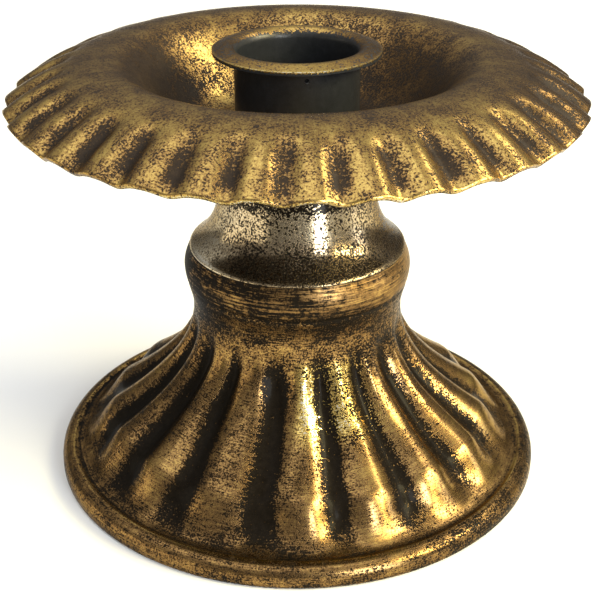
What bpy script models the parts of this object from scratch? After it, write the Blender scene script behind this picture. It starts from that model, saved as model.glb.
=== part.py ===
"""Chalice candle holder in sheet metal with an antique gold finish.

A fluted bell foot carries a turned neck, a drip pan with a fluted skirt and a candle socket.
One tie screw runs down the centre line and clamps the stack with a washer, a spring washer and a nut.
"""

import math

import bmesh
import bpy

MM = 0.001

# Sheet and clearances
SHEET = 0.8 * MM
SEAT_GAP = 0.3 * MM
HOLE_CLEARANCE = 0.3 * MM

# Foot: rim, flutes, waist and plain band
FOOT_RADIUS = 50.5 * MM
RIM_WIDTH = 2.8 * MM
RIM_HEIGHT = 4.4 * MM
RIM_WALL_HEIGHT = 1.6 * MM
HEM_WIDTH = 1.6 * MM
GROOVE_DEPTH = 1.1 * MM
GROOVE_WIDTH = 4.1 * MM
TOE_RISE = 2.1 * MM
TOE_BEND = 12.5 * MM
TOE_START = math.radians(54.0)
TOE_END = math.radians(15.0)
TOE_FLUTE_SHARE = 0.6
WAIST_RADIUS = 21.3 * MM
WAIST_HEIGHT = 34.9 * MM
BELL_POWER = 2.0
BAND_RADIUS = 22.9 * MM
BAND_RISE = 8.8 * MM
CROWN_RADIUS = 22.1 * MM
CROWN_RISE = 3.8 * MM
CROWN_ROUND = 0.25 * MM
FOOT_FLUTES = 18
FOOT_FLUTE_DEPTH = 1.9 * MM
FOOT_VALLEY_POWER = 2.5
FOOT_FLUTE_RUN_IN = 6.0 * MM
FOOT_FLUTE_START_ABOVE_WAIST = 2.6 * MM
FOOT_VALLEY_ANGLE = math.radians(-8.3)

# Neck: flared foot, tapered wall and crown
FLARE_EDGE = 2.0 * MM
FLARE_EDGE_START = math.radians(52.0)
FLARE_EDGE_END = math.radians(30.0)
FLARE_RISE = 8.8 * MM
FLARE_POWER = 3.0
NECK_RADIUS = 15.9 * MM
NECK_TAPER = math.radians(14.0)
NECK_HEIGHT = 23.2 * MM
NECK_ROUND = 1.4 * MM

# Drip pan: floor, well, crest and fluted skirt
PAN_RADIUS = 55.2 * MM
PAN_FLOOR_RADIUS = 17.0 * MM
CREST_RADIUS = 36.0 * MM
WELL_DEPTH = 14.0 * MM
SKIRT_DROP = 7.3 * MM
PAN_FLUTES = 36
PAN_FLUTE_DEPTH = 1.3 * MM
PAN_VALLEY_POWER = 1.5
PAN_FLUTE_START = 6.0 * MM
PAN_FLUTE_RUN_IN = 6.5 * MM
PAN_VALLEY_ANGLE = math.radians(-2.1)

# Candle socket: bore, wall and flared lip
SOCKET_BORE_RADIUS = 11.4 * MM
SOCKET_WALL = 0.6 * MM
SOCKET_DEPTH = 15.1 * MM
SOCKET_CORNER = 0.9 * MM
LIP_RADIUS = 16.1 * MM
LIP_BEND = 1.4 * MM
LIP_DROOP = math.radians(20.0)

# Tie screw, washers and nut
SCREW_RADIUS = 2.0 * MM
SCREW_TAIL = 2.0 * MM
SCREW_TIP = 0.5 * MM
HEAD_RADIUS = 4.0 * MM
HEAD_HEIGHT = 1.8 * MM
HEAD_CROWN = 0.7 * MM
HEAD_CROWN_START = math.radians(75.0)
SLOT_WIDTH = 1.0 * MM
SLOT_DEPTH = 0.9 * MM
WASHER_RADIUS = 4.5 * MM
WASHER_THICKNESS = 0.8 * MM
SPRING_RADIUS = 3.9 * MM
SPRING_THICKNESS = 0.9 * MM
SPRING_RISE = 0.3 * MM
SPRING_SLIT = math.radians(12.0)
NUT_SIDES = 6
NUT_ACROSS_FLATS = 7.0 * MM
NUT_THICKNESS = 3.2 * MM
NUT_CHAMFER = 0.4 * MM

# Facets round the pieces, and steps along their curves
FOOT_PLAIN_FACETS = 3 * FOOT_FLUTES
FOOT_FLUTED_FACETS = 6 * FOOT_FLUTES
PAN_PLAIN_FACETS = 2 * PAN_FLUTES
PAN_FLUTED_FACETS = 6 * PAN_FLUTES
TURNED_FACETS = 48
HARDWARE_FACETS = 4 * NUT_SIDES
SPRING_STEPS = 24
CORNER_STEPS = 2
CROWN_STEPS = 3
BELL_STEPS = 6
TOE_STEPS = 4
ROLL_STEPS = 5
FLARE_STEPS = 6
WELL_STEPS = 6
SKIRT_STEPS = 6
LIP_STEPS = 4
DOME_STEPS = 4
SMOOTH_ANGLE = math.radians(40.0)

# Heights of the stack, from the table up
CROWN_TOP = WAIST_HEIGHT + BAND_RISE + CROWN_RISE
NECK_FOOT = CROWN_TOP + SEAT_GAP
NECK_TOP = NECK_FOOT + NECK_HEIGHT
PAN_FLOOR = NECK_TOP + SEAT_GAP + SHEET
CREST_HEIGHT = PAN_FLOOR + WELL_DEPTH
SOCKET_FOOT = PAN_FLOOR + SEAT_GAP
SOCKET_FLOOR = SOCKET_FOOT + SOCKET_WALL
HEAD_SEAT = SOCKET_FLOOR + SEAT_GAP
WASHER_TOP = CROWN_TOP - SHEET - SEAT_GAP
SPRING_TOP = WASHER_TOP - WASHER_THICKNESS - SEAT_GAP
NUT_TOP = SPRING_TOP - SPRING_THICKNESS - SPRING_RISE - SEAT_GAP
SCREW_END = NUT_TOP - NUT_THICKNESS - SCREW_TAIL
SCREW_HOLE = SCREW_RADIUS + HOLE_CLEARANCE


def clear_scene():
    """Remove every object that the scene holds."""
    for item in list(bpy.data.objects):
        bpy.data.objects.remove(item, do_unlink=True)


def make_material(name, colour, roughness, metallic):
    """Return a plain metal material."""
    material = bpy.data.materials.new(name)
    material.use_nodes = True
    shader = material.node_tree.nodes["Principled BSDF"]
    shader.inputs["Base Color"].default_value = (*colour, 1.0)
    shader.inputs["Roughness"].default_value = roughness
    shader.inputs["Metallic"].default_value = metallic
    return material


def ease(value):
    """Ease a value from 0 to 1 with level ends."""
    value = min(max(value, 0.0), 1.0)
    return value * value * (3.0 - 2.0 * value)


def arc(centre, size, start, end, steps):
    """Return points on an elliptical arc in the radius and height plane, both ends included."""
    points = []
    for step in range(steps + 1):
        angle = start + (end - start) * step / steps
        points.append((centre[0] + size[0] * math.cos(angle), centre[1] + size[1] * math.sin(angle)))
    return points


def inward_normals(points):
    """Return the unit normals on the right-hand side of a profile, from its neighbours."""
    normals = []
    for index in range(len(points)):
        before = points[max(index - 1, 0)]
        after = points[min(index + 1, len(points) - 1)]
        run = after[0] - before[0]
        rise = after[1] - before[1]
        length = math.hypot(run, rise)
        normals.append((rise / length, -run / length))
    return normals


def plain_ring(point, facets):
    """Return one level ring of points about the centre line."""
    ring = []
    for facet in range(facets):
        angle = 2.0 * math.pi * facet / facets
        ring.append((point[0] * math.sin(angle), -point[0] * math.cos(angle), point[1]))
    return ring


def fluted_ring(point, normal, depth, facets, flutes, valley, offset):
    """Return one ring that is pressed inward along the normal in every valley, at its angle and power."""
    ring = []
    for facet in range(facets):
        phase = 2.0 * math.pi * facet * flutes / facets
        pressed = offset + depth * (0.5 + 0.5 * math.cos(phase)) ** valley[1]
        angle = valley[0] + 2.0 * math.pi * facet / facets
        radius = point[0] + normal[0] * pressed
        height = point[1] + normal[1] * pressed
        ring.append((radius * math.sin(angle), -radius * math.cos(angle), height))
    return ring


def turned_rings(profile, facets):
    """Return the rings of a plain turned profile."""
    return [plain_ring(point, facets) for point in profile]


def link_rings(mesh, first, second):
    """Join two rings of vertices whose counts are equal, or one a multiple of the other."""
    if len(first) > len(second):
        first, second = second, first
    share = len(second) // len(first)
    for index, corner in enumerate(first):
        following = first[(index + 1) % len(first)]
        for part in range(share):
            near = second[index * share + part]
            far = second[(index * share + part + 1) % len(second)]
            if part == share // 2:
                mesh.faces.new((corner, following, far, near))
            elif part < share // 2:
                mesh.faces.new((corner, far, near))
            else:
                mesh.faces.new((following, far, near))


def finish_piece(mesh, name, material):
    """Turn a bmesh into a named object with outward faces, smooth shading and one material."""
    bmesh.ops.recalc_face_normals(mesh, faces=mesh.faces[:])
    for face in mesh.faces:
        face.smooth = True
    for edge in mesh.edges:
        if len(edge.link_faces) == 2:
            edge.smooth = edge.calc_face_angle(0.0) < SMOOTH_ANGLE
    data = bpy.data.meshes.new(name)
    mesh.to_mesh(data)
    mesh.free()
    piece = bpy.data.objects.new(name, data)
    piece.data.materials.append(material)
    bpy.context.scene.collection.objects.link(piece)
    return piece


def ring_solid(name, rings, material):
    """Build a solid with a centre hole from rings that go once round its section."""
    mesh = bmesh.new()
    loops = [[mesh.verts.new(point) for point in ring] for ring in rings]
    for index, loop in enumerate(loops):
        link_rings(mesh, loop, loops[(index + 1) % len(loops)])
    return finish_piece(mesh, name, material)


def capped_solid(name, rings, material):
    """Build a solid without a hole from rings that go from its top to its bottom."""
    mesh = bmesh.new()
    loops = [[mesh.verts.new(point) for point in ring] for ring in rings]
    for first, second in zip(loops, loops[1:]):
        link_rings(mesh, first, second)
    mesh.faces.new(loops[0])
    mesh.faces.new(loops[-1])
    return finish_piece(mesh, name, material)


def foot_rows():
    """Return the foot's outer profile from its centre hole to its toes, with the flutes' share of depth."""
    toe_radius = FOOT_RADIUS - RIM_WIDTH - GROOVE_WIDTH
    toe_height = RIM_HEIGHT - GROOVE_DEPTH + TOE_RISE
    bend_centre = (toe_radius - TOE_BEND * math.cos(TOE_END), toe_height - TOE_BEND * math.sin(TOE_END))
    toe = arc(bend_centre, (TOE_BEND, TOE_BEND), TOE_START, TOE_END, TOE_STEPS)
    bell_end = toe[0]
    rows = [(SCREW_HOLE, CROWN_TOP, 0.0)]
    corner = (CROWN_RADIUS - CROWN_ROUND, CROWN_TOP - CROWN_ROUND)
    crown = arc(corner, (CROWN_ROUND, CROWN_ROUND), math.pi / 2.0, 0.0, CROWN_STEPS)
    rows += [(radius, height, 0.0) for radius, height in crown]
    band_height = WAIST_HEIGHT + BAND_RISE
    for step in range(1, CORNER_STEPS + 1):
        share = step / CORNER_STEPS
        height = corner[1] + (band_height - corner[1]) * share
        radius = CROWN_RADIUS + (BAND_RADIUS - CROWN_RADIUS) * math.sin(share * math.pi / 2.0)
        rows.append((radius, height, 0.0))
    flute_top = WAIST_HEIGHT + FOOT_FLUTE_START_ABOVE_WAIST
    for height in (band_height - BAND_RISE / 3.0, flute_top, WAIST_HEIGHT):
        share = (band_height - height) / BAND_RISE
        depth = ease((flute_top - height) / FOOT_FLUTE_RUN_IN)
        rows.append((BAND_RADIUS + (WAIST_RADIUS - BAND_RADIUS) * ease(share), height, depth))
    for step in range(1, BELL_STEPS):
        share = step / BELL_STEPS
        height = WAIST_HEIGHT + (bell_end[1] - WAIST_HEIGHT) * share
        radius = WAIST_RADIUS + (bell_end[0] - WAIST_RADIUS) * share ** BELL_POWER
        rows.append((radius, height, ease((flute_top - height) / FOOT_FLUTE_RUN_IN)))
    for step, (radius, height) in enumerate(toe):
        rows.append((radius, height, 1.0 - (1.0 - TOE_FLUTE_SHARE) * ease(step / TOE_STEPS)))
    return rows


def rim_profile():
    """Return the foot's groove and rolled rim from the flutes' toes down to the table and up inside."""
    rim_start = FOOT_RADIUS - RIM_WIDTH
    groove = (rim_start - GROOVE_WIDTH / 2.0, RIM_HEIGHT - GROOVE_DEPTH)
    rim_centre = (rim_start, RIM_WALL_HEIGHT)
    roll = arc(rim_centre, (RIM_WIDTH, RIM_HEIGHT - RIM_WALL_HEIGHT), math.pi / 2.0, 0.0, ROLL_STEPS)
    hem = FOOT_RADIUS - HEM_WIDTH
    ledge = groove[1] - SHEET
    inside = [(FOOT_RADIUS, 0.0), (hem, 0.0), (hem, ledge), (rim_start - GROOVE_WIDTH - SHEET, ledge)]
    return [groove] + roll + inside


def make_foot(material):
    """Build the fluted bell foot with its plain band, groove, rolled rim and closed crown."""
    rows = foot_rows()
    points = [(radius, height) for radius, height, depth in rows]
    normals = inward_normals(points)
    valley = (FOOT_VALLEY_ANGLE, FOOT_VALLEY_POWER)
    outer = []
    inner = []
    for (radius, height, depth), normal in zip(rows, normals):
        for side, offset in ((outer, 0.0), (inner, SHEET)):
            facets = FOOT_FLUTED_FACETS if depth > 0.0 else FOOT_PLAIN_FACETS
            pressed = depth * FOOT_FLUTE_DEPTH
            side.append(fluted_ring((radius, height), normal, pressed, facets, FOOT_FLUTES, valley, offset))
    rim = []
    for point in rim_profile():
        rim.append(fluted_ring(point, (0.0, 0.0), 0.0, FOOT_PLAIN_FACETS, FOOT_FLUTES, valley, 0.0))
    return ring_solid("foot_shell", outer + rim + inner[::-1], material)


def make_neck(material):
    """Build the neck shell, a tapered wall that flares out to the crown of the foot."""
    edge_centre = (CROWN_RADIUS - FLARE_EDGE, NECK_FOOT - FLARE_EDGE * math.sin(FLARE_EDGE_END))
    edge = arc(edge_centre, (FLARE_EDGE, FLARE_EDGE), FLARE_EDGE_START, FLARE_EDGE_END, CORNER_STEPS)
    flare_end = edge[0]
    flare_start = flare_end[1] + FLARE_RISE
    slope = math.tan(NECK_TAPER)
    crown_height = NECK_TOP - NECK_ROUND
    crown_reach = NECK_RADIUS - slope * (crown_height - flare_start) - NECK_ROUND / math.cos(NECK_TAPER)
    crown = (crown_reach, crown_height)
    wall = [(SCREW_HOLE, NECK_TOP)]
    wall += arc(crown, (NECK_ROUND, NECK_ROUND), math.pi / 2.0, NECK_TAPER, CORNER_STEPS)
    spread = flare_end[0] - NECK_RADIUS - slope * FLARE_RISE
    for step in range(FLARE_STEPS):
        share = step / FLARE_STEPS
        radius = NECK_RADIUS + slope * FLARE_RISE * share + spread * share ** FLARE_POWER
        wall.append((radius, flare_start - FLARE_RISE * share))
    inner = [(SCREW_HOLE, NECK_TOP - SHEET)]
    for point, normal in list(zip(wall, inward_normals(wall)))[1:]:
        inner.append((point[0] + normal[0] * SHEET, point[1] + normal[1] * SHEET))
    inner.append((edge[-1][0] - SHEET, NECK_FOOT))
    profile = wall + edge + inner[::-1]
    return ring_solid("neck_shell", turned_rings(profile, TURNED_FACETS), material)


def pan_rows():
    """Return the drip pan's upper profile from its hole to its edge, with the flutes' share of depth."""
    rows = [(SCREW_HOLE, PAN_FLOOR, 0.0), (PAN_FLOOR_RADIUS, PAN_FLOOR, 0.0)]
    for step in range(1, WELL_STEPS + 1):
        share = step / WELL_STEPS
        height = PAN_FLOOR + WELL_DEPTH * (0.5 - 0.5 * math.cos(math.pi * share))
        rows.append((PAN_FLOOR_RADIUS + (CREST_RADIUS - PAN_FLOOR_RADIUS) * share, height, 0.0))
    skirt_width = PAN_RADIUS - CREST_RADIUS
    for step in range(1, SKIRT_STEPS + 1):
        share = step / SKIRT_STEPS
        radius = CREST_RADIUS + skirt_width * share
        depth = ease((radius - CREST_RADIUS - PAN_FLUTE_START) / PAN_FLUTE_RUN_IN)
        rows.append((radius, CREST_HEIGHT - SKIRT_DROP * share ** 2, depth))
    return rows


def make_pan(material):
    """Build the drip pan with its sunken well, broad crest and fluted skirt."""
    rows = pan_rows()
    normals = inward_normals([(radius, height) for radius, height, depth in rows])
    valley = (PAN_VALLEY_ANGLE, PAN_VALLEY_POWER)
    upper = []
    lower = []
    for (radius, height, depth), normal in zip(rows, normals):
        for side, offset in ((upper, 0.0), (lower, SHEET)):
            facets = PAN_FLUTED_FACETS if depth > 0.0 else PAN_PLAIN_FACETS
            pressed = depth * PAN_FLUTE_DEPTH
            side.append(fluted_ring((radius, height), normal, pressed, facets, PAN_FLUTES, valley, offset))
    return ring_solid("drip_pan", upper + lower[::-1], material)


def make_socket(material):
    """Build the candle socket: a flat floor, a straight tube and a lip that is flared outward."""
    tube = SOCKET_BORE_RADIUS + SOCKET_WALL
    lip_top = SOCKET_FLOOR + SOCKET_DEPTH
    bend = (tube + LIP_BEND, lip_top - LIP_BEND - SOCKET_WALL)
    turn_end = math.pi / 2.0 - LIP_DROOP
    lip_over = LIP_BEND + SOCKET_WALL
    under = arc(bend, (LIP_BEND, LIP_BEND), math.pi, turn_end, LIP_STEPS)
    over = arc(bend, (lip_over, lip_over), math.pi, turn_end, LIP_STEPS)
    slope = math.tan(LIP_DROOP)
    under.append((LIP_RADIUS, under[-1][1] - (LIP_RADIUS - under[-1][0]) * slope))
    over.append((LIP_RADIUS, over[-1][1] - (LIP_RADIUS - over[-1][0]) * slope))
    corner = (tube - SOCKET_CORNER, SOCKET_FOOT + SOCKET_CORNER)
    corner_bore = SOCKET_CORNER - SOCKET_WALL
    outside = [(SCREW_HOLE, SOCKET_FOOT)]
    outside += arc(corner, (SOCKET_CORNER, SOCKET_CORNER), -math.pi / 2.0, 0.0, CORNER_STEPS)
    inside = arc(corner, (corner_bore, corner_bore), 0.0, -math.pi / 2.0, CORNER_STEPS)
    inside.append((SCREW_HOLE, SOCKET_FLOOR))
    profile = outside + under + over[::-1] + inside
    return ring_solid("candle_socket", turned_rings(profile, TURNED_FACETS), material)


def make_screw(material):
    """Build the tie screw with a domed, slotted head that sits on the socket's floor."""
    head_top = HEAD_SEAT + HEAD_HEIGHT
    dome_centre = (0.0, head_top - HEAD_CROWN)
    dome = arc(dome_centre, (HEAD_RADIUS, HEAD_CROWN), HEAD_CROWN_START, 0.0, DOME_STEPS)
    profile = dome + [(HEAD_RADIUS, HEAD_SEAT), (SCREW_RADIUS, HEAD_SEAT)]
    profile += [(SCREW_RADIUS, SCREW_END + SCREW_TIP), (SCREW_RADIUS - SCREW_TIP, SCREW_END)]
    screw = capped_solid("tie_screw", turned_rings(profile, HARDWARE_FACETS), material)
    cutter_mesh = bmesh.new()
    bmesh.ops.create_cube(cutter_mesh, size=1.0)
    length = 2.0 * (HEAD_RADIUS + SLOT_WIDTH)
    bmesh.ops.scale(cutter_mesh, vec=(length, SLOT_WIDTH, 2.0 * SLOT_DEPTH), verts=cutter_mesh.verts)
    cutter = finish_piece(cutter_mesh, "slot_cutter", material)
    cutter.location = (0.0, 0.0, head_top)
    cutter.hide_render = True
    cutter.display_type = "WIRE"
    slot = screw.modifiers.new("slot", "BOOLEAN")
    slot.operation = "DIFFERENCE"
    slot.solver = "EXACT"
    slot.object = cutter
    return screw


def make_washer(material):
    """Build the flat washer under the crown of the foot."""
    bottom = WASHER_TOP - WASHER_THICKNESS
    profile = [(SCREW_HOLE, WASHER_TOP), (WASHER_RADIUS, WASHER_TOP)]
    profile += [(WASHER_RADIUS, bottom), (SCREW_HOLE, bottom)]
    return ring_solid("flat_washer", turned_rings(profile, HARDWARE_FACETS), material)


def make_spring_washer(material):
    """Build the split spring washer, a square ring that climbs from one cut end to the other."""
    mesh = bmesh.new()
    sections = []
    for step in range(SPRING_STEPS + 1):
        share = step / SPRING_STEPS
        angle = SPRING_SLIT / 2.0 + (2.0 * math.pi - SPRING_SLIT) * share
        top = SPRING_TOP - SPRING_RISE * share
        bottom = top - SPRING_THICKNESS
        corners = [(SCREW_HOLE, top), (SPRING_RADIUS, top), (SPRING_RADIUS, bottom), (SCREW_HOLE, bottom)]
        section = []
        for radius, height in corners:
            section.append(mesh.verts.new((radius * math.cos(angle), radius * math.sin(angle), height)))
        sections.append(section)
    for first, second in zip(sections, sections[1:]):
        link_rings(mesh, first, second)
    mesh.faces.new(sections[0])
    mesh.faces.new(sections[-1])
    return finish_piece(mesh, "spring_washer", material)


def make_nut(material):
    """Build the hexagon nut with chamfered corners at both ends."""
    bottom = NUT_TOP - NUT_THICKNESS
    corner = NUT_ACROSS_FLATS / 2.0 / math.cos(math.pi / NUT_SIDES)
    flat = NUT_ACROSS_FLATS / 2.0
    profile = [(SCREW_HOLE, NUT_TOP), (flat, NUT_TOP), (corner, NUT_TOP - NUT_CHAMFER),
               (corner, bottom + NUT_CHAMFER), (flat, bottom), (SCREW_HOLE, bottom)]
    rings = [plain_ring(point, HARDWARE_FACETS if point[0] < flat else NUT_SIDES) for point in profile]
    return ring_solid("hex_nut", rings, material)


clear_scene()
foot_gold = make_material("foot_gold", (0.30, 0.19, 0.075), 0.42, 0.85)
neck_gold = make_material("neck_gold", (0.24, 0.16, 0.075), 0.36, 0.85)
pan_gold = make_material("pan_gold", (0.38, 0.25, 0.09), 0.40, 0.85)
socket_black = make_material("socket_black", (0.045, 0.042, 0.038), 0.45, 0.60)
bright_steel = make_material("bright_steel", (0.55, 0.54, 0.52), 0.35, 1.0)
plated_steel = make_material("plated_steel", (0.48, 0.47, 0.43), 0.42, 1.0)
spring_steel = make_material("spring_steel", (0.20, 0.20, 0.21), 0.40, 1.0)
nut_steel = make_material("nut_steel", (0.44, 0.43, 0.41), 0.42, 1.0)

make_foot(foot_gold)
make_neck(neck_gold)
make_pan(pan_gold)
make_socket(socket_black)
make_screw(bright_steel)
make_washer(plated_steel)
make_spring_washer(spring_steel)
make_nut(nut_steel)
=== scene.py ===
import math

import bpy
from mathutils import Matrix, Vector, noise


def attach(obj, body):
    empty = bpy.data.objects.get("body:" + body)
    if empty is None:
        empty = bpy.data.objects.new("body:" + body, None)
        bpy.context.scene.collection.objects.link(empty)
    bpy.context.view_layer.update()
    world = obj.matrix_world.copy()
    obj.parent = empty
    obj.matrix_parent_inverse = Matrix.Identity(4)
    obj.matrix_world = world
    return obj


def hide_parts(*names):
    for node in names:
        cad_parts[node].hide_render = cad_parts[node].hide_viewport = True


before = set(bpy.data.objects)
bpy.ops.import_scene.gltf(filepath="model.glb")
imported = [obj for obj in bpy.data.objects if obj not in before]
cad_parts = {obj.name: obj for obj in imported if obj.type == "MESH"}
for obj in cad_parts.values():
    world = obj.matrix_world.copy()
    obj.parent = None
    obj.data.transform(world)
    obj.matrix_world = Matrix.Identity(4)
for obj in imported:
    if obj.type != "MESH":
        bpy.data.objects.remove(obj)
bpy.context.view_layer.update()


# Foot: one bell of thin pressed steel with eighteen flutes, a plain band above them and a rolled rim below.
# It is painted black-brown, then antique gold is rubbed over the ridges, so that the valleys stay dark.
# The flutes are struck by hand and drift on the left. The closed crown carries the neck and the tie screw.
mm = 0.001
sheet = 0.8 * mm
screw_hole = 2.3 * mm
foot_radius = 50.5 * mm
rim_width = 2.8 * mm
rim_height = 4.4 * mm
rim_wall_height = 1.6 * mm
rim_tuck = 0.5 * mm
hem_width = 1.6 * mm
groove_depth = 1.1 * mm
groove_width = 4.1 * mm
toe_rise = 2.1 * mm
toe_bend = 12.5 * mm
toe_start = math.radians(54.0)
cove_radius = 46.5 * mm
cove_height = 4.0 * mm
toe_end = math.radians(15.0)
waist_radius = 21.3 * mm
waist_height = 34.9 * mm
band_radius = 22.9 * mm
band_rise = 8.8 * mm
band_line_height = 40.6 * mm
band_line_width = 0.7 * mm
band_line_depth = 0.15 * mm
crown_radius = 21.75 * mm
crown_rise = 3.8 * mm
crown_round = 0.03 * mm
crown_top = waist_height + band_rise + crown_rise
foot_flutes = 18
foot_flute_depth = 1.8 * mm
foot_flute_run_in = 7.5 * mm
foot_flute_top = waist_height - 0.4 * mm
foot_valley_angle = math.radians(-8.3)
foot_flute_drift = math.radians(6.5)
foot_valley_power = 1.4
foot_facets = 24 * foot_flutes


def ease(value):
    """Ease a value from 0 to 1 with level ends."""
    value = min(max(value, 0.0), 1.0)
    return value * value * (3.0 - 2.0 * value)


def between(value, span):
    """Return 0 before a span, 1 past it and an eased value inside it."""
    return ease((value - span[0]) / (span[1] - span[0]))


def arc(centre, size, start, end, steps):
    """Return points on an elliptical arc in the radius and height plane, both ends included."""
    points = []
    for step in range(steps + 1):
        angle = start + (end - start) * step / steps
        points.append((centre[0] + size[0] * math.cos(angle), centre[1] + size[1] * math.sin(angle)))
    return points


def inward_normals(points):
    """Return the unit normals on the right-hand side of a profile, from its neighbours."""
    normals = []
    for index in range(len(points)):
        before = points[max(index - 1, 0)]
        after = points[min(index + 1, len(points) - 1)]
        run = after[0] - before[0]
        rise = after[1] - before[1]
        length = math.hypot(run, rise)
        normals.append((rise / length, -run / length))
    return normals


def hand_wobble(angle, height, pitch):
    """Return the small unevenness of hand work, from -1 to 1, at one place on a turned piece."""
    return noise.noise(Vector((math.sin(angle) * pitch, -math.cos(angle) * pitch, height / (8.0 * mm))))


def spun_piece(name, rows, facets, place):
    """Build a closed shell from rows that go once round its section, with the gold on each point."""
    points = []
    finish = {"cover": [], "bright": [], "turned": []}
    for row in rows:
        for facet in range(facets):
            angle = 2.0 * math.pi * facet / facets
            radius, height, gold = place(row, angle)
            points.append((radius * math.sin(angle), -radius * math.cos(angle), height))
            for part, value in zip(finish, gold):
                finish[part].append(value)
    faces = []
    for index in range(len(rows)):
        first = index * facets
        second = (index + 1) % len(rows) * facets
        for facet in range(facets):
            following = (facet + 1) % facets
            faces.append((first + facet, second + facet, second + following, first + following))
    mesh = bpy.data.meshes.new(name)
    mesh.from_pydata(points, [], faces)
    for part, values in finish.items():
        mesh.attributes.new(part, "FLOAT", "POINT").data.foreach_set("value", values)
    mesh.polygons.foreach_set("use_smooth", [True] * len(mesh.polygons))
    mesh.update()
    piece = bpy.data.objects.new(name, mesh)
    bpy.context.scene.collection.objects.link(piece)
    return piece


foot_outer = [(screw_hole, crown_top, 0.0, "band")]
crown_corner = (crown_radius - crown_round, crown_top - crown_round)
for radius, height in arc(crown_corner, (crown_round, crown_round), math.pi / 2.0, 0.0, 4):
    foot_outer.append((radius, height, 0.0, "band"))
band_height = waist_height + band_rise
for step in range(1, 9):
    share = step / 8.0
    radius = crown_radius + (band_radius - crown_radius) * math.sin(share * math.pi / 2.0)
    foot_outer.append((radius, crown_corner[1] + (band_height - crown_corner[1]) * share, 0.0, "band"))
for step in range(1, 33):
    share = step / 32.0
    height = band_height - band_rise * share
    depth = ease((foot_flute_top - height) / foot_flute_run_in)
    line = 1.0 - ease(abs(height - band_line_height) / band_line_width)
    radius = band_radius + (waist_radius - band_radius) * ease(share) - band_line_depth * line
    foot_outer.append((radius, height, depth, "band"))
toe_base = rim_height - groove_depth
rim_start = foot_radius - rim_width
toe_radius = rim_start - groove_width
toe_height = toe_base + toe_rise
toe_centre = (toe_radius - toe_bend * math.cos(toe_end), toe_height - toe_bend * math.sin(toe_end))
toe_top = arc(toe_centre, (toe_bend, toe_bend), toe_start, toe_end, 1)[0]
for step in range(1, 36):
    share = step / 36.0
    height = waist_height + (toe_top[1] - waist_height) * share
    radius = waist_radius + (toe_top[0] - waist_radius) * share ** 2
    foot_outer.append((radius, height, ease((foot_flute_top - height) / foot_flute_run_in), "flutes"))
toe_fall = -(cove_radius - toe_top[0]) / math.tan(toe_start)
for step in range(0, 31):
    share = step / 30.0
    start = (1.0 + 2.0 * share) * (1.0 - share) ** 2
    lean = share * (1.0 - share) ** 2
    height = cove_height + (toe_top[1] - cove_height) * start + toe_fall * lean
    radius = toe_top[0] + (cove_radius - toe_top[0]) * share
    foot_outer.append((radius, height, ease((0.95 - share) / 0.60), "flutes"))
for step in range(1, 7):
    share = step / 6.0
    radius = cove_radius + (rim_start - cove_radius) * share
    foot_outer.append((radius, cove_height + (rim_height - cove_height) * share ** 2, 0.0, "cove"))
rim_size = (rim_width, rim_height - rim_wall_height)
for radius, height in arc((rim_start, rim_wall_height), rim_size, math.pi / 2.0, 0.0, 16)[1:]:
    foot_outer.append((radius, height, 0.0, "rim"))
foot_outer.append((foot_radius, rim_wall_height * 0.4, 0.0, "rim"))
foot_outer.append((foot_radius - rim_tuck, 0.0, 0.0, "rim"))
foot_sheet = [row for row in foot_outer if row[3] == "band" or row[3] == "flutes"]
foot_inner = []
for row, normal in zip(foot_sheet, inward_normals([row[:2] for row in foot_sheet])):
    foot_inner.append((row[0] + normal[0] * sheet, row[1] + normal[1] * sheet, row[2], "inside"))
foot_hem = foot_radius - hem_width
foot_ledge = toe_base - sheet
foot_inside = [
    (foot_hem, 0.0, 0.0, "inside"),
    (foot_hem, foot_ledge, 0.0, "inside"),
    (cove_radius, foot_ledge, 0.0, "inside"),
]
foot_section = foot_outer + foot_inside + foot_inner[::-2]
foot_normals = inward_normals([row[:2] for row in foot_outer])
foot_normals += [(0.0, 0.0)] * len(foot_inside)
foot_normals += inward_normals([row[:2] for row in foot_inner])[::-2]
foot_rows = [row + normal for row, normal in zip(foot_section, foot_normals)]


# Spans of radius or height where the foot's gold thins out or fills up, and where a pale pewter highlight is
# painted.
# It differs by side as it looks in the photo: fuller low on the right, and thinner high on the right.
# The fuller gold low on the right is a painted yellow highlight, and the thinner gold high on the right is
# painted shade.
toe_span = (41.5 * mm, 45.5 * mm)
shoulder_span = (26.0 * mm, 33.0 * mm)
painted_yellow_glint_start = (33.0 * mm, 38.0 * mm)
painted_yellow_glint_end = (45.0 * mm, 46.5 * mm)
painted_shade_high_right_span = (14.0 * mm, 22.0 * mm)
painted_pewter_glint_start = (16.0 * mm, 21.0 * mm)
painted_pewter_glint_end = (29.0 * mm, 33.0 * mm)
upper_band_span = (band_line_height, band_line_height + 1.0 * mm)
rim_bead_span = (rim_start, rim_start + 0.8 * mm)
rim_scuff_span = (0.0, 1.2 * mm)


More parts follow.
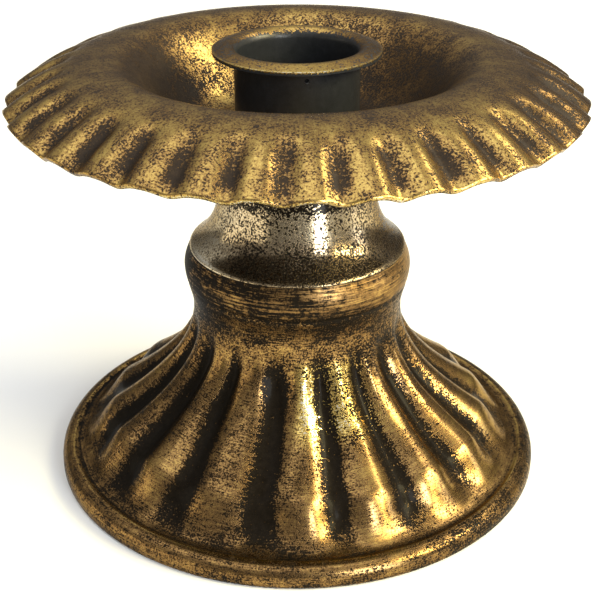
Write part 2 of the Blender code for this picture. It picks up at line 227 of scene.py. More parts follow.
def foot_place(row, angle):
    """Press one point of the foot into its flute, and give its gold's cover, brightness and turning, painted
    light and shade included.
    """
    radius, height, depth, zone, out, up = row
    uneven = hand_wobble(angle, height, 3.0)
    drift = foot_flute_drift * ease(-1.8 * math.sin(angle))
    phase = foot_flutes * (angle - foot_valley_angle + drift) + 0.30 * uneven
    valley = (0.5 + 0.5 * math.cos(phase)) ** foot_valley_power
    pressed = depth * foot_flute_depth * valley * (1.0 + 0.12 * uneven)
    cover = -0.6
    bright = 0.3
    turned = 0.0
    if zone == "band":
        line = 1.0 - ease(abs(height - band_line_height) / (1.6 * band_line_width))
        upper = between(height, upper_band_span)
        dark = depth * ease((valley - 0.40) / 0.50)
        # The upper band's gold is fuller on the right: partly the finish and partly painted light on the lit
        # side.
        cover = (0.44 + upper * (0.08 + 0.28 * math.sin(angle + 0.1)) - 0.14 * line) * (1.0 - dark)
        bright = 0.23 + 0.03 * upper
        turned = 0.30 + 0.60 * upper
    elif zone == "flutes":
        worn = 0.22 * hand_wobble(angle, height, 9.0)
        low = between(radius, toe_span)
        high = between(height, shoulder_span)
        side = math.sin(angle)
        right = max(side, 0.0)
        # Painted light: the valleys are shut less on the right, the lit side.
        shut = ease((valley - 0.30 - 0.06 * side + worn) / 0.64) * (1.0 - 0.22 * right)
        # Painted highlight: a yellow glint made of fuller, brighter gold low on the right.
        painted_yellow_glint = between(radius, painted_yellow_glint_start) * (1.0 - between(radius, painted_yellow_glint_end))
        painted_yellow_glint *= ease((side + 0.02) / 0.15)
        # Painted shade: the gold is thinner and duller high on the right.
        painted_shade_high_right = right * between(height, painted_shade_high_right_span)
        # Painted light: the gold is fuller on the right, the lit side.
        fullness = 0.66 + 0.10 * right - (0.20 - 0.14 * abs(side)) * low - 0.16 * high - 0.16 * painted_shade_high_right
        # Painted highlight: a pale pewter patch high on the ridges just right of the front.
        painted_pewter_glint = between(height, painted_pewter_glint_start) * (1.0 - between(height, painted_pewter_glint_end))
        painted_pewter_glint *= ease((side + 0.08) / 0.14) * (1.0 - ease((side - 0.43) / 0.28))
        painted_pewter_glint *= ease(math.cos(angle) * 4.0)
        cover = (fullness + 0.13 * painted_yellow_glint - 0.08 * painted_pewter_glint) * (1.0 - depth * shut)
        # Painted light: the ridges are brighter on the right, the lit side.
        bright = 0.28 + 0.02 * side - 0.04 * low + 0.03 * painted_yellow_glint + 0.58 * painted_pewter_glint - 0.06 * painted_shade_high_right
        turned = 0.25 * low
    elif zone == "cove":
        edge = between(radius, (cove_radius, rim_start))
        # Painted light: the cove is fuller and brighter on the right, the lit side.
        cover = 0.36 + 0.14 * math.sin(angle) + 0.34 * edge
        bright = 0.20 + 0.05 * math.sin(angle) + 0.30 * edge
        turned = 0.25
    elif zone == "rim":
        edge = 1.0 - between(radius, rim_bead_span)
        scuffed = 1.0 - between(height, rim_scuff_span)
        # Painted shade: the rim's gold is thinner and its bead duller on the right.
        right = max(math.sin(angle), 0.0)
        cover = 0.66 + 0.10 * edge - 0.20 * scuffed - 0.22 * right
        bright = 0.25 + (0.29 - 0.14 * right) * edge
        turned = 0.15
    return radius + out * pressed, height + up * pressed, (cover, bright, turned)


def node(tree, kind, settings, inputs):
    """Add one shader node, with its settings, and with its inputs set or linked."""
    item = tree.nodes.new("ShaderNode" + kind)
    for name, value in settings.items():
        setattr(item, name, value)
    for name, value in inputs.items():
        if isinstance(value, bpy.types.NodeSocket):
            tree.links.new(value, item.inputs[name])
        else:
            item.inputs[name].default_value = value
    return item


def sums(tree, operation, first, second):
    """Return the result of one sum on two values."""
    return node(tree, "Math", {"operation": operation}, {0: first, 1: second}).outputs[0]


def grain(tree, place, scale, detail, spread):
    """Return a cloudy value about 0, with the number of clouds in a metre and how far they swing."""
    inputs = {"Vector": place, "Scale": scale, "Detail": detail, "Roughness": 0.6}
    cloud = node(tree, "TexNoise", {}, inputs).outputs["Fac"]
    return sums(tree, "MULTIPLY", sums(tree, "SUBTRACT", cloud, 0.5), spread)


def rise(tree, value, low, high, start, end):
    """Return a value that goes smoothly from start to end as another goes from low to high."""
    inputs = {"Value": value, "From Min": low, "From Max": high, "To Min": start, "To Max": end}
    return node(tree, "MapRange", {"interpolation_type": "SMOOTHSTEP"}, inputs).outputs["Result"]


def ramp(tree, value, stops):
    """Return a colour that follows a value through a row of stops."""
    item = node(tree, "ValToRGB", {}, {"Fac": value})
    elements = item.color_ramp.elements
    while len(elements) < len(stops):
        elements.new(1.0)
    for element, (position, colour) in zip(elements, stops):
        element.position = position
        element.color = (*colour, 1.0)
    return item.outputs["Color"]


def round_the_axis(tree, place, climb, pitch, turns):
    """Return a place for streaks: steps along the section by pitch, and steps round the axis by turns."""
    parts = node(tree, "SeparateXYZ", {}, {"Vector": place}).outputs
    level = node(tree, "CombineXYZ", {}, {"X": parts["X"], "Y": parts["Y"]}).outputs[0]
    spoke = node(tree, "VectorMath", {"operation": "NORMALIZE"}, {0: level}).outputs["Vector"]
    reach = node(tree, "VectorMath", {"operation": "LENGTH"}, {0: level}).outputs["Value"]
    along = sums(tree, "SUBTRACT", sums(tree, "MULTIPLY", parts["Z"], climb), reach)
    lift = node(tree, "CombineXYZ", {}, {"Z": sums(tree, "MULTIPLY", along, pitch)}).outputs[0]
    sweep = node(tree, "VectorMath", {"operation": "SCALE"}, {0: spoke, "Scale": turns}).outputs["Vector"]
    return node(tree, "VectorMath", {"operation": "ADD"}, {0: sweep, 1: lift}).outputs["Vector"]


gold_tones = [
    (0.00, (0.078, 0.045, 0.019)),
    (0.30, (0.228, 0.131, 0.048)),
    (0.60, (0.425, 0.280, 0.084)),
    (0.88, (0.670, 0.500, 0.150)),
    (1.00, (0.740, 0.715, 0.650)),
]
base_tones = [
    (0.00, (0.003, 0.002, 0.001)),
    (0.50, (0.008, 0.006, 0.004)),
    (1.00, (0.024, 0.016, 0.009)),
]


lathe_marks = {"climb": 1.0, "pitch": 2400.0, "turns": 1.8, "amount": 1.2}
dust_scale = 6500.0
gold_break = 0.12
gold_relief = 0.03 * mm


def rubbed_gold(name, base, tones, specks, strokes, patches, gloss):
    """Make gold rubbed over dark paint: its cover breaks into pores, strokes and worn patches."""
    material = bpy.data.materials.new(name)
    material.use_nodes = True
    tree = material.node_tree
    shader = tree.nodes["Principled BSDF"]
    place = node(tree, "TexCoord", {}, {}).outputs["Object"]
    # The cover and bright attributes carry the gold's finish together with the painted light and shade given
    # on each piece.
    cover = node(tree, "Attribute", {"attribute_name": "cover"}, {}).outputs["Fac"]
    bright = node(tree, "Attribute", {"attribute_name": "bright"}, {}).outputs["Fac"]
    turned = node(tree, "Attribute", {"attribute_name": "turned"}, {}).outputs["Fac"]
    lay = round_the_axis(tree, place, strokes["climb"], strokes["pitch"], strokes["turns"])
    stroke = grain(tree, lay, 1.0, 3.0, strokes["amount"])
    lathe_lay = round_the_axis(tree, place, lathe_marks["climb"], lathe_marks["pitch"], lathe_marks["turns"])
    lathe = sums(tree, "MULTIPLY", grain(tree, lathe_lay, 1.0, 3.0, lathe_marks["amount"]), turned)
    patch = grain(tree, place, patches["scale"], 4.0, patches["amount"])
    blotch = grain(tree, place, 0.3 * specks["scale"], 3.0, 0.9)
    speck = grain(tree, place, specks["scale"], 2.0, specks["amount"])
    speck = sums(tree, "MULTIPLY", speck, rise(tree, turned, 0.0, 1.0, 1.0, 0.3))
    dust = grain(tree, place, dust_scale, 1.0, 1.0)
    uneven = sums(tree, "ADD", patch, sums(tree, "ADD", stroke, lathe))
    laid = sums(tree, "ADD", cover, sums(tree, "MULTIPLY", uneven, rise(tree, cover, 0.0, 0.14, 0.0, 1.0)))
    pores = sums(tree, "ADD", sums(tree, "ADD", speck, blotch), 0.5)
    thick = sums(tree, "SUBTRACT", laid, pores)
    gold = rise(tree, thick, -gold_break, gold_break, 0.0, 1.0)
    tone = sums(tree, "ADD", bright, rise(tree, thick, 0.0, 0.55, -0.16, 0.12))
    tone = sums(tree, "ADD", tone, sums(tree, "MULTIPLY", sums(tree, "ADD", patch, lathe), 0.5))
    fine = sums(tree, "ADD", sums(tree, "MULTIPLY", dust, 0.5), sums(tree, "MULTIPLY", stroke, 0.6))
    tone = sums(tree, "ADD", tone, fine)
    metal = ramp(tree, tone, tones)
    paint = ramp(tree, sums(tree, "ADD", sums(tree, "ADD", blotch, dust), 0.35), base)
    mix = node(tree, "Mix", {"data_type": "RGBA"}, {"Factor": gold, "A": paint, "B": metal})
    tree.links.new(mix.outputs["Result"], shader.inputs["Base Color"])
    tree.links.new(gold, shader.inputs["Metallic"])
    dull = rise(tree, gold, 0.0, 1.0, gloss["paint"], gloss["gold"])
    dull = sums(tree, "ADD", dull, sums(tree, "MULTIPLY", sums(tree, "ADD", speck, patch), 0.10))
    dull = sums(tree, "ADD", dull, sums(tree, "MULTIPLY", turned, 0.15))
    tree.links.new(dull, shader.inputs["Roughness"])
    relief = sums(tree, "ADD", gold, sums(tree, "MULTIPLY", sums(tree, "ADD", stroke, lathe), 0.5))
    bump = node(tree, "Bump", {}, {"Height": relief, "Strength": 0.6, "Distance": gold_relief})
    tree.links.new(bump.outputs["Normal"], shader.inputs["Normal"])
    shader.inputs["Specular IOR Level"].default_value = gloss["sheen"]
    shader.inputs["Coat Weight"].default_value = gloss["lacquer"]
    shader.inputs["Coat Roughness"].default_value = 0.14
    shader.inputs["Specular Tint"].default_value = (*gloss["edge"], 1.0)
    return material


foot_piece = spun_piece("foot_bell", foot_rows, foot_facets, foot_place)
foot_specks = {"scale": 2900.0, "amount": 2.0}
foot_strokes = {"climb": 1.0, "pitch": 4000.0, "turns": 10.0, "amount": 0.8}
foot_patches = {"scale": 120.0, "amount": 1.0}
foot_gloss = {"paint": 0.42, "gold": 0.24, "sheen": 0.04, "lacquer": 0.03, "edge": (0.72, 0.66, 0.58)}
foot_paint = ("foot_rubbed_gold", base_tones, gold_tones)
foot_gold = rubbed_gold(*foot_paint, foot_specks, foot_strokes, foot_patches, foot_gloss)
foot_piece.data.materials.append(foot_gold)
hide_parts("foot_shell")
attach(foot_piece, "stand")


# Neck: a pressed shell with a tapered wall, a flat top and a flare that spreads to the foot's crown.
# It has the same black-brown paint, with gold speckled over the wall and rubbed thin on the flare.
# The tie screw clamps it between the foot and the drip pan.
flare_reach = 22.0 * mm
flare_edge = 2.0 * mm
flare_edge_start = math.radians(52.0)
flare_edge_end = math.radians(30.0)
flare_rise = 8.8 * mm
flare_power = 3.0
neck_radius = 15.9 * mm
neck_taper = math.radians(14.0)
neck_height = 23.2 * mm
neck_round = 1.4 * mm
seat_gap = 0.3 * mm
seam = 0.05 * mm
neck_foot = crown_top + seat_gap
neck_top = neck_foot + neck_height
edge_centre = (flare_reach - flare_edge, neck_foot - flare_edge * math.sin(flare_edge_end))
neck_edge = arc(edge_centre, (flare_edge, flare_edge), flare_edge_start, flare_edge_end, 8)
flare_end = neck_edge[0]
flare_start = flare_end[1] + flare_rise
neck_slope = math.tan(neck_taper)
neck_crown_height = neck_top - neck_round
neck_crown_wall = neck_radius - neck_slope * (neck_crown_height - flare_start)
neck_crown_reach = neck_crown_wall - neck_round / math.cos(neck_taper)
neck_crown = (neck_crown_reach, neck_crown_height)
neck_wall = [(screw_hole, neck_top)]
neck_wall += arc(neck_crown, (neck_round, neck_round), math.pi / 2.0, neck_taper, 8)
for step in range(1, 9):
    height = neck_wall[8][1] + (flare_start - neck_wall[8][1]) * step / 9.0
    neck_wall.append((neck_radius - neck_slope * (height - flare_start), height))
flare_spread = flare_end[0] - neck_radius - neck_slope * flare_rise
for step in range(0, 40):
    share = step / 40.0
    radius = neck_radius + neck_slope * flare_rise * share + flare_spread * share ** flare_power
    neck_wall.append((radius, flare_start - flare_rise * share))
neck_inner = [(screw_hole, neck_top - sheet)]
for point, normal in list(zip(neck_wall, inward_normals(neck_wall)))[1::3]:
    neck_inner.append((point[0] + normal[0] * sheet, point[1] + normal[1] * sheet))
neck_hem = (neck_edge[-1][0], crown_top + seam)
neck_inner.append((neck_hem[0] - sheet, neck_hem[1]))
neck_outer = neck_wall + neck_edge + [neck_hem]
neck_rows = [(radius, height, "outside") for radius, height in neck_outer]
neck_rows += [(radius, height, "inside") for radius, height in neck_inner[::-1]]


neck_wall_span = (neck_foot + 3.6 * mm, neck_foot + 8.0 * mm)
neck_edge_span = (neck_foot + 0.4 * mm, neck_foot + 1.0 * mm)
painted_pan_shadow_span = (neck_foot + 10.4 * mm, neck_foot + 12.6 * mm)


def neck_place(row, angle):
    """Place one point of the neck, and give the cover, brightness and turning of its gold, painted light and
    shade included.
    """
    radius, height, side = row
    wobble = 0.08 * mm * hand_wobble(angle, height, 2.0)
    cover = -0.6
    bright = 0.3
    turned = 0.0
    if side == "inside":
        wobble = 0.0
    else:
        above = between(height, neck_wall_span)
        edge = 1.0 - between(height, neck_edge_span)
        # More and brighter gold on the left of the flare: partly the finish and partly painted light.
        left = ease(-math.sin(angle + 0.15) * 2.0 - 0.7)
        # Painted shadow: the gold is thin on the top of the neck, under the pan.
        painted_pan_shadow = between(height, painted_pan_shadow_span)
        cover = 0.49 + 0.13 * above + 0.12 * edge + 0.30 * left * (1.0 - above) - 0.42 * painted_pan_shadow
        bright = 0.30 + 0.36 * above + 0.18 * edge + 0.55 * left * (1.0 - above)
        # Painted shade: the wall's gold is duller on the right.
        bright += above * (0.08 - 0.28 * max(math.sin(angle), 0.0))
        turned = 0.3 * edge
    return radius + wobble, height, (cover, bright, turned)


neck_piece = spun_piece("flared_neck", neck_rows, 192, neck_place)
dull_gold_tones = [
    (0.00, (0.070, 0.049, 0.030)),
    (0.30, (0.200, 0.145, 0.085)),
    (0.60, (0.390, 0.305, 0.190)),
    (0.88, (0.600, 0.500, 0.330)),
    (1.00, (0.720, 0.660, 0.520)),
]
neck_specks = {"scale": 2500.0, "amount": 2.9}
neck_strokes = {"climb": 1.0, "pitch": 2600.0, "turns": 12.0, "amount": 0.25}
neck_patches = {"scale": 120.0, "amount": 0.5}
neck_gloss = {"paint": 0.20, "gold": 0.20, "sheen": 0.10, "lacquer": 0.08, "edge": (0.44, 0.37, 0.29)}
neck_paint = ("neck_rubbed_gold", base_tones, dull_gold_tones)
neck_gold = rubbed_gold(*neck_paint, neck_specks, neck_strokes, neck_patches, neck_gloss)
neck_piece.data.materials.append(neck_gold)
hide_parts("neck_shell")
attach(neck_piece, "stand")


# Drip pan: a wide dish of pressed sheet with a sunken well, a broad crest and a fluted, downturned skirt.
# Gold is rubbed over the ridges and the edge of the skirt, while the valleys keep blotches of dark paint.
# It is clamped between the neck and the socket, and can be turned by hand against that friction.
pan_radius = 55.2 * mm
pan_floor_radius = 17.0 * mm
crest_radius = 36.0 * mm
well_depth = 14.0 * mm
skirt_drop = 7.3 * mm
pan_flutes = 36
pan_flute_depth = 1.3 * mm
pan_flute_start = 6.0 * mm
pan_flute_run_in = 6.5 * mm
pan_valley_angle = math.radians(-2.1)
pan_valley_power = 1.5
pan_facets = 20 * pan_flutes
pan_floor = neck_top + seat_gap + sheet
crest_height = pan_floor + well_depth
pan_upper = [(radius, pan_floor, 0.0) for radius in (screw_hole, pan_floor_radius * 0.6, pan_floor_radius)]
for step in range(1, 25):
    share = step / 24.0
    height = pan_floor + well_depth * (0.5 - 0.5 * math.cos(math.pi * share))
    pan_upper.append((pan_floor_radius + (crest_radius - pan_floor_radius) * share, height, 0.0))
for step in range(1, 41):
    share = step / 40.0
    radius = crest_radius + (pan_radius - crest_radius) * share
    depth = ease((radius - crest_radius - pan_flute_start) / pan_flute_run_in)
    pan_upper.append((radius, crest_height - skirt_drop * share ** 2, depth))
pan_normals = inward_normals([row[:2] for row in pan_upper])
pan_rows = []
for row, normal in zip(pan_upper, pan_normals):
    pan_rows.append((*row, *normal, 0.0, "top"))
pan_rows.append((*pan_upper[-1], *pan_normals[-1], 0.25 * sheet, "cut"))
pan_rows.append((*pan_upper[-1], *pan_normals[-1], 0.75 * sheet, "cut"))
for row, normal in list(zip(pan_upper, pan_normals))[::-1]:
    pan_rows.append((*row, *normal, sheet, "under"))


skirt_span = (crest_radius + 3.0 * mm, crest_radius + 9.0 * mm)
well_span = (crest_radius - 6.0 * mm, crest_radius - 1.0 * mm)
well_left_span = (18.0 * mm, 23.0 * mm)
well_right_span = (26.0 * mm, 32.0 * mm)
skirt_edge_span = (pan_radius - 3.0 * mm, pan_radius - 0.6 * mm)
painted_well_glint_angle = math.radians(-138.0)


def pan_place(row, angle):
    """Press one point of the pan into its flute, and give its gold's cover, brightness and turning, painted
    light and shade included.
    """
    radius, height, depth, out, up, inward, side = row
    uneven = hand_wobble(angle, 0.0, 6.0)
    phase = pan_flutes * (angle - pan_valley_angle) + 0.5 * uneven
    valley = (0.5 + 0.5 * math.cos(phase)) ** pan_valley_power
    pressed = inward + depth * pan_flute_depth * valley * (1.0 + 0.18 * uneven)
    cover = -0.6
    bright = 0.3
    turned = 0.0
    if side == "cut":
        cover = 0.70
        # Painted highlight: the cut edge is brighter at the front.
        bright = 0.24 + 0.60 * ease(math.cos(angle) * 3.0 - 2.0)
    elif side == "top":
        skirt = between(radius, skirt_span)
        inside = 1.0 - between(radius, well_span)
        # Painted reflection: a strip of fuller, brighter gold in the well at the back left.
        painted_well_glint = inside * max(math.cos(angle - painted_well_glint_angle), 0.0) ** 16
        # The well is darker beside the tube: on the left partly dark paint and partly a painted reflection
        # of the tube, on the right painted shade.
        left = between(radius, well_left_span) * max(-math.sin(angle), 0.0) * (1.0 - painted_well_glint)
        right = ease(math.sin(angle) * 2.0 - 0.5) * (1.0 - 0.5 * between(radius, well_right_span))
        paint_and_shade_by_tube = inside * max(left, right)
        # Painted shade: the skirt is darker on the far right.
        far_right = skirt * ease((math.sin(angle) - 0.72) / 0.22)
        edge = between(radius, skirt_edge_span)
        worn = 1.0 + 0.7 * hand_wobble(angle, radius, 20.0)
        dark = depth * ease((valley - 0.25) / 0.65) * (1.0 - edge) * worn
        back = inside * max(-math.cos(angle), 0.0)
        cover = 0.64 + 0.10 * skirt + 0.04 * inside - 0.14 * paint_and_shade_by_tube - 0.34 * inside * left - 0.14 * back
        cover += 0.08 * painted_well_glint - 0.46 * dark - 0.18 * far_right
        bright = 0.42 + 0.08 * skirt + 0.08 * inside - 0.54 * paint_and_shade_by_tube - 0.26 * dark - 0.32 * far_right
        # Painted light: the skirt is brighter on the right, the lit side.
        bright += 0.06 * skirt * math.sin(angle) + 0.06 * painted_well_glint
        turned = 0.3 * inside
    return radius + out * pressed, height + up * pressed, (cover, bright, turned)


pan_piece = spun_piece("fluted_pan", pan_rows, pan_facets, pan_place)
brown_tones = [
    (0.00, (0.006, 0.004, 0.003)),
    (0.50, (0.022, 0.014, 0.008)),
    (1.00, (0.070, 0.042, 0.020)),
]
pan_specks = {"scale": 2600.0, "amount": 2.7}
pan_strokes = {"climb": 0.2, "pitch": 150.0, "turns": 70.0, "amount": 0.45}
pan_patches = {"scale": 190.0, "amount": 1.1}
pan_gloss = {"paint": 0.42, "gold": 0.28, "sheen": 0.15, "lacquer": 0.0, "edge": (0.92, 0.88, 0.82)}
pan_paint = ("pan_rubbed_gold", brown_tones, gold_tones)
pan_gold = rubbed_gold(*pan_paint, pan_specks, pan_strokes, pan_patches, pan_gloss)
pan_piece.data.materials.append(pan_gold)
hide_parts("drip_pan")
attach(pan_piece, "pan")


# Candle socket: a short drawn tube with a flat floor and a lip that is flared outward and droops a little.
# The tube is left in semi-gloss black with a pin hole under the lip, and only the lip is rubbed with gold.
# Its floor lies on the pan and is held by the head of the tie screw.
socket_bore_radius = 11.4 * mm
socket_wall = 0.6 * mm
socket_depth = 15.1 * mm
socket_corner = 0.9 * mm
lip_radius = 16.1 * mm
lip_bend = 1.4 * mm
lip_droop = math.radians(20.0)
socket_foot = pan_floor + seat_gap
socket_floor = socket_foot + socket_wall
tube_radius = socket_bore_radius + socket_wall
lip_top = socket_floor + socket_depth
lip_centre = (tube_radius + lip_bend, lip_top - lip_bend - socket_wall)
lip_turn = math.pi / 2.0 - lip_droop
lip_over_bend = lip_bend + socket_wall
lip_under = arc(lip_centre, (lip_bend, lip_bend), math.pi, lip_turn, 10)
lip_over = arc(lip_centre, (lip_over_bend, lip_over_bend), math.pi, lip_turn, 14)
for side in (lip_under, lip_over):
    last = side[-1]
    for step in range(1, 5):
        radius = last[0] + (lip_radius - last[0]) * step / 4.0
        side.append((radius, last[1] - (radius - last[0]) * math.tan(lip_droop)))
tube_corner = (tube_radius - socket_corner, socket_foot + socket_corner)
bore_corner = socket_corner - socket_wall
socket_outside = [(screw_hole, socket_foot)]
socket_outside += arc(tube_corner, (socket_corner, socket_corner), -math.pi / 2.0, 0.0, 6)
socket_inside = arc(tube_corner, (bore_corner, bore_corner), 0.0, -math.pi / 2.0, 4)
socket_inside.append((screw_hole, socket_floor))
socket_rows = [(radius, height, "tube") for radius, height in socket_outside]
tube_heights = [tube_corner[1] + (lip_centre[1] - tube_corner[1]) * step / 8.0 for step in range(1, 8)]
socket_rows += [(tube_radius, height, "tube") for height in tube_heights]
socket_rows += [(radius, height, "tube") for radius, height in lip_under]
socket_rows += [(radius, height, "lip") for radius, height in lip_over[::-1]]
socket_rows += [(socket_bore_radius, height, "bore") for height in tube_heights[::-1]]
socket_rows += [(radius, height, "bore") for radius, height in socket_inside]


lip_roll_span = (socket_bore_radius - 0.1 * mm, socket_bore_radius + 0.8 * mm)
lip_edge_span = (lip_radius - 0.4 * mm, lip_radius)


def socket_place(row, angle):
    """Place one point of the socket, and give the cover, brightness and turning of its gold."""
    radius, height, zone = row
    wobble = 0.10 * mm * hand_wobble(angle, 0.0, 1.5) * ease((height - lip_centre[1]) / lip_bend)
    cover = -0.6
    bright = 0.5
    if zone == "lip":
        front_and_back = math.cos(angle) ** 2
        rolled = between(radius, lip_roll_span)
        edge = between(radius, lip_edge_span)
        cover = (1.32 + 0.20 * front_and_back) * rolled - 0.6
        bright = 0.18 + 0.34 * front_and_back + 0.40 * edge
    return radius + wobble, height, (cover, bright, 0.0)


socket_piece = spun_piece("flared_socket", socket_rows, 192, socket_place)
pit_radius = 0.48 * mm
pit_depth = 1.0 * mm
pit_angle = math.radians(8.6)
pit_height = 84.4 * mm
pit_facets = 24
pit_points = []
for reach in (tube_radius - pit_depth, tube_radius + pit_depth):
    for facet in range(pit_facets):
        turn = 2.0 * math.pi * facet / pit_facets
        side = pit_radius * math.cos(turn)
        out = (math.sin(pit_angle), -math.cos(pit_angle))
        pit_points.append((
            out[0] * reach - out[1] * side,
            out[1] * reach + out[0] * side,
            pit_height + pit_radius * math.sin(turn),
        ))
pit_faces = [list(range(pit_facets))[::-1], list(range(pit_facets, 2 * pit_facets))]
for facet in range(pit_facets):
    following = (facet + 1) % pit_facets
    pit_faces.append([facet, following, pit_facets + following, pit_facets + facet])
pit_mesh = bpy.data.meshes.new("lip_pit")
pit_mesh.from_pydata(pit_points, [], pit_faces)
pit = bpy.data.objects.new("lip_pit", pit_mesh)
bpy.context.scene.collection.objects.link(pit)
pit_cut = socket_piece.modifiers.new("pit", "BOOLEAN")
pit_cut.object = pit
pit_cut.operation = "DIFFERENCE"
pit_cut.solver = "EXACT"
pitted = bpy.data.meshes.new_from_object(socket_piece.evaluated_get(bpy.context.evaluated_depsgraph_get()))
pitted.set_sharp_from_angle(angle=math.radians(50.0))
socket_piece.modifiers.clear()
socket_piece.data = pitted
bpy.data.objects.remove(pit)
black_tones = [
    (0.00, (0.008, 0.009, 0.010)),
    (0.50, (0.015, 0.016, 0.018)),
    (1.00, (0.034, 0.035, 0.038)),
]
socket_specks = {"scale": 2300.0, "amount": 3.2}
socket_strokes = {"climb": 1.0, "pitch": 1300.0, "turns": 8.0, "amount": 0.35}
socket_patches = {"scale": 140.0, "amount": 0.5}
socket_gloss = {"paint": 0.36, "gold": 0.32, "sheen": 0.40, "lacquer": 0.0, "edge": (0.82, 0.78, 0.72)}
socket_paint = ("socket_black_and_gold", black_tones, gold_tones)
socket_black = rubbed_gold(*socket_paint, socket_specks, socket_strokes, socket_patches, socket_gloss)
socket_piece.data.materials.append(socket_black)
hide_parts("candle_socket")
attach(socket_piece, "socket")


# Tie screw, flat washer, spring washer and nut: the bought steel set that clamps the four shells together.
# The screw, the flat washer and the nut are zinc plated, and the spring washer is blackened.
# They keep the meshes of the CAD, so only their finish is made here.
def turned_steel(name, tones, dulls):
    """Make plated steel with fine turning marks, cloudy plating and small dull spots."""
    material = bpy.data.materials.new(name)
    material.use_nodes = True
    tree = material.node_tree
    shader = tree.nodes["Principled BSDF"]
    place = node(tree, "TexCoord", {}, {}).outputs["Object"]
    marks = grain(tree, round_the_axis(tree, place, 1.0, 6000.0, 2.0), 1.0, 3.0, 1.6)
    cloud = grain(tree, place, 450.0, 4.0, 1.4)
    spots = rise(tree, grain(tree, place, 2200.0, 2.0, 1.0), 0.10, 0.24, 0.0, 1.0)
    shade = sums(tree, "ADD", sums(tree, "ADD", marks, cloud), 0.5)
    colour = ramp(tree, sums(tree, "SUBTRACT", shade, sums(tree, "MULTIPLY", spots, 0.4)), tones)
    tree.links.new(colour, shader.inputs["Base Color"])
    dull = rise(tree, sums(tree, "ADD", shade, spots), 0.0, 1.6, *dulls)
    tree.links.new(dull, shader.inputs["Roughness"])
    bump = node(tree, "Bump", {}, {"Height": marks, "Strength": 0.4, "Distance": 0.02 * mm})
    tree.links.new(bump.outputs["Normal"], shader.inputs["Normal"])
    shader.inputs["Metallic"].default_value = 1.0
    return material


zinc_tones = [(0.0, (0.30, 0.29, 0.27)), (0.5, (0.50, 0.49, 0.46)), (1.0, (0.66, 0.65, 0.62))]
black_steel_tones = [(0.0, (0.06, 0.06, 0.065)), (0.5, (0.15, 0.15, 0.16)), (1.0, (0.27, 0.27, 0.28))]
hardware = {
    "tie_screw": turned_steel("screw_zinc", zinc_tones, (0.26, 0.55)),
    "flat_washer": turned_steel("washer_zinc", zinc_tones, (0.34, 0.62)),
    "spring_washer": turned_steel("spring_black", black_steel_tones, (0.32, 0.60)),
    "hex_nut": turned_steel("nut_zinc", zinc_tones, (0.30, 0.58)),
}
for name, steel in hardware.items():
    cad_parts[name].data.materials.clear()
    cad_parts[name].data.materials.append(steel)


# Studio: a pale table top under the holder, and a room that is pale above and dim near the table.
# Six soft lamps light it: one from above, one from the left and four from the right and front right.
# The camera stands in front and a little above, as in the picture of the holder.
floor_mesh = bpy.data.meshes.new("table_top")
floor_reach = 40.0
floor_corners = [
    (-floor_reach, -floor_reach, 0.0),
    (floor_reach, -floor_reach, 0.0),
    (floor_reach, floor_reach, 0.0),
    (-floor_reach, floor_reach, 0.0),
]
floor_mesh.from_pydata(floor_corners, [], [(0, 1, 2, 3)])
floor = bpy.data.objects.new("table_top", floor_mesh)
floor.location = (0.0, 0.0, -0.05 * mm)
bpy.context.scene.collection.objects.link(floor)
floor_paint = bpy.data.materials.new("pale_table")
floor_paint.use_nodes = True
floor_shader = floor_paint.node_tree.nodes["Principled BSDF"]
floor_shader.inputs["Base Color"].default_value = (0.86, 0.86, 0.85, 1.0)
floor_shader.inputs["Roughness"].default_value = 0.85
floor_shader.inputs["Specular IOR Level"].default_value = 0.1
floor.data.materials.append(floor_paint)

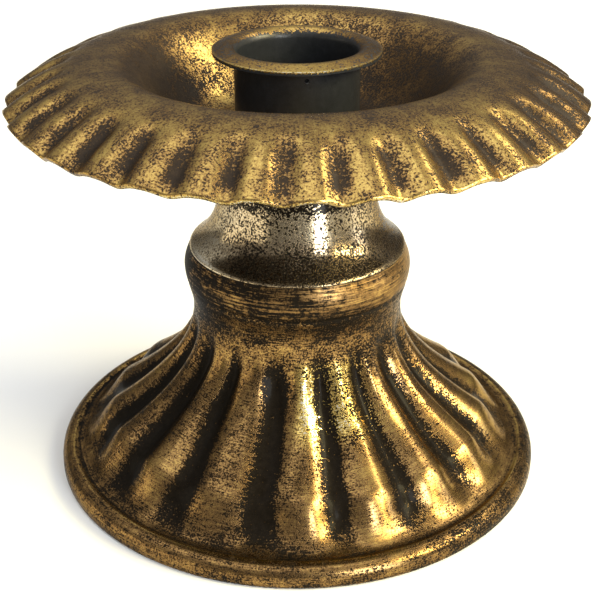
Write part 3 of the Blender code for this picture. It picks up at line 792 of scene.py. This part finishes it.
room = bpy.data.worlds.new("pale_room")
room.use_nodes = True
bpy.context.scene.world = room
room_tree = room.node_tree
direction = node(room_tree, "TexCoord", {}, {}).outputs["Generated"]
upward = node(room_tree, "SeparateXYZ", {}, {"Vector": direction}).outputs["Z"]
room_stops = [(0.10, (0.14, 0.135, 0.13)), (0.30, (0.28, 0.28, 0.28)), (0.70, (0.74, 0.74, 0.74))]
room_colour = ramp(room_tree, upward, room_stops)
room_tree.links.new(room_colour, room_tree.nodes["Background"].inputs["Color"])


def soft_lamp(name, place, size, power, colour):
    """Hang a rectangular lamp that faces the middle of the holder."""
    lamp = bpy.data.lights.new(name, "AREA")
    lamp.shape = "RECTANGLE"
    lamp.size = size[0]
    lamp.size_y = size[1]
    lamp.energy = power
    lamp.color = colour
    holder = bpy.data.objects.new(name, lamp)
    holder.location = place
    aim = Vector((0.0, 0.0, 45.0 * mm)) - Vector(place)
    holder.rotation_euler = aim.to_track_quat("-Z", "Y").to_euler()
    holder.visible_camera = False
    bpy.context.scene.collection.objects.link(holder)


soft_lamp("ceiling_lamp", (-0.3, -0.2, 1.5), (1.6, 1.6), 8.5, (1.0, 1.0, 1.0))
soft_lamp("right_lamp", (0.67, 0.28, 0.84), (0.52, 0.28), 2.6, (1.0, 0.94, 0.72))
soft_lamp("window_lamp", (0.88, -0.06, 0.38), (0.28, 0.72), 2.4, (0.94, 0.97, 1.0))
soft_lamp("front_window_lamp", (0.39, -0.65, 0.24), (0.22, 0.46), 5.0, (0.90, 0.96, 1.0))
soft_lamp("warm_lamp", (0.78, -0.26, 0.55), (0.56, 0.30), 14.5, (1.0, 0.88, 0.48))
soft_lamp("left_lamp", (-0.85, -0.25, 0.16), (1.20, 0.30), 1.6, (1.0, 0.90, 0.70))

camera_back = 231.1 * mm
camera_height = 151.2 * mm
camera_tilt = math.radians(26.75)
sensor_size = 36.0
focal_pixels = 1250.0
picture_pixels = 595.0
camera_data = bpy.data.cameras.new("camera")
camera_data.sensor_width = sensor_size
camera_data.lens = focal_pixels / picture_pixels * sensor_size
camera_data.shift_x = -0.0013
camera_data.clip_start = 0.01
camera = bpy.data.objects.new("camera", camera_data)
camera.location = (0.0, -camera_back, camera_height)
camera.rotation_euler = (math.pi / 2.0 - camera_tilt, 0.0, 0.0)
bpy.context.scene.collection.objects.link(camera)
bpy.context.scene.camera = camera
bpy.context.scene.view_settings.view_transform = "Standard"
